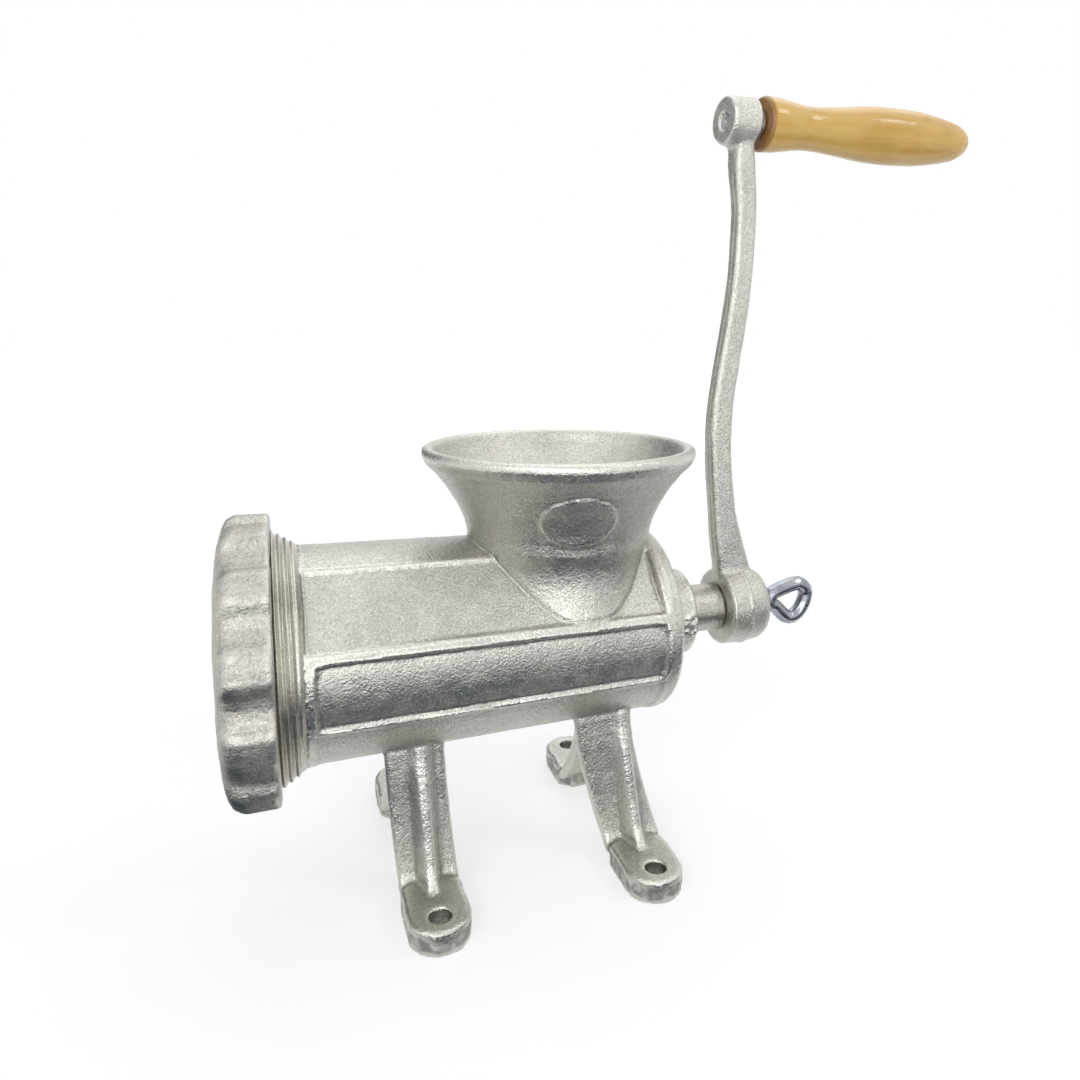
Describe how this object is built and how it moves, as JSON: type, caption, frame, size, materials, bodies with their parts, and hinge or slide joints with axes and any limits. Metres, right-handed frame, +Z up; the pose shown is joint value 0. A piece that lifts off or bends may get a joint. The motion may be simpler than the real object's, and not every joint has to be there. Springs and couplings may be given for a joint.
{
  "type": "manual meat grinder",
  "caption": "Hand-cranked meat grinder: cast barrel on bolt-down legs, funnel hopper, lobed ring nut, cutting plate and knife, feed screw, bowed crank and turned wooden grip.",
  "frame": {"origin": "on the table, under the middle of the machine's bounding box", "axes": "+X along the barrel from the ring nut towards the crank, +Y across the machine, +Z up"},
  "size_m": [0.3362, 0.1238, 0.3196],
  "materials": {
    "tinned_iron": "tinned casting, fine orange-peel grain",
    "nut_iron": "tinned casting, coarse grain on the lobes",
    "auger_iron": "tinned casting with a turned shaft",
    "crank_iron": "tinned casting with a worn parting line",
    "plate_steel": "ground",
    "knife_steel": "ground",
    "stud_steel": "turned and milled",
    "pin_steel": "plain drawn pin",
    "screw_zinc": "bright zinc",
    "washer_zinc": "bright zinc",
    "eye_zinc": "bright zinc on bent rod",
    "grip_washer_steel": "plain",
    "fibre": "red vulcanised fibre",
    "varnished_wood": "turned and clear varnished"
  },
  "bodies": {
    "housing": {"body_casting": "tinned_iron", "plate_key_pin": "pin_steel"},
    "crank": {"auger": "auger_iron", "knife_stud": "stud_steel", "stud_lock_pin": "pin_steel", "thrust_washer": "fibre", "knife": "knife_steel", "crank_arm": "crank_iron", "handle_pin": "pin_steel", "grip_washer": "grip_washer_steel"},
    "handle": {"grip": "varnished_wood"},
    "plate": {"cutting_plate": "plate_steel"},
    "nut": {"ring_nut": "nut_iron"},
    "screw_washer": {"thumb_screw_washer": "washer_zinc"},
    "screw": {"thumb_screw": "screw_zinc", "thumb_screw_eye": "eye_zinc"}
  },
  "joints": [
    {"name": "crank_turn", "type": "hinge", "parent": "housing", "child": "crank", "pos_m": [0.034, 0, 0.0946], "axis": [1, 0, 0], "continuous": true},
    {"name": "grip_spin", "type": "hinge", "parent": "crank", "child": "handle", "pos_m": [0.1, 0, 0.3075], "axis": [1, 0, 0], "continuous": true},
    {"name": "plate_slide", "type": "slide", "parent": "housing", "child": "plate", "axis": [-1, 0, 0], "range_m": [0, 0.01005]},
    {"name": "nut_turn", "type": "hinge", "parent": "plate", "child": "nut", "pos_m": [-0.158, 0, 0.0946], "axis": [-1, 0, 0], "range_deg": [0, 1440]},
    {"name": "washer_slide", "type": "slide", "parent": "crank", "child": "screw_washer", "axis": [1, 0, 0], "range_m": [0, 0.015]},
    {"name": "screw_turn", "type": "hinge", "parent": "screw_washer", "child": "screw", "pos_m": [0.065, 0, 0.0946], "axis": [1, 0, 0], "range_deg": [0, 4330]}
  ],
  "couplings": [
    {"joint": "plate_slide", "follows": "nut_turn", "m_per_rad": 0.00039789},
    {"joint": "screw_turn", "follows": "washer_slide", "rad_per_m": 5026.5}
  ]
}
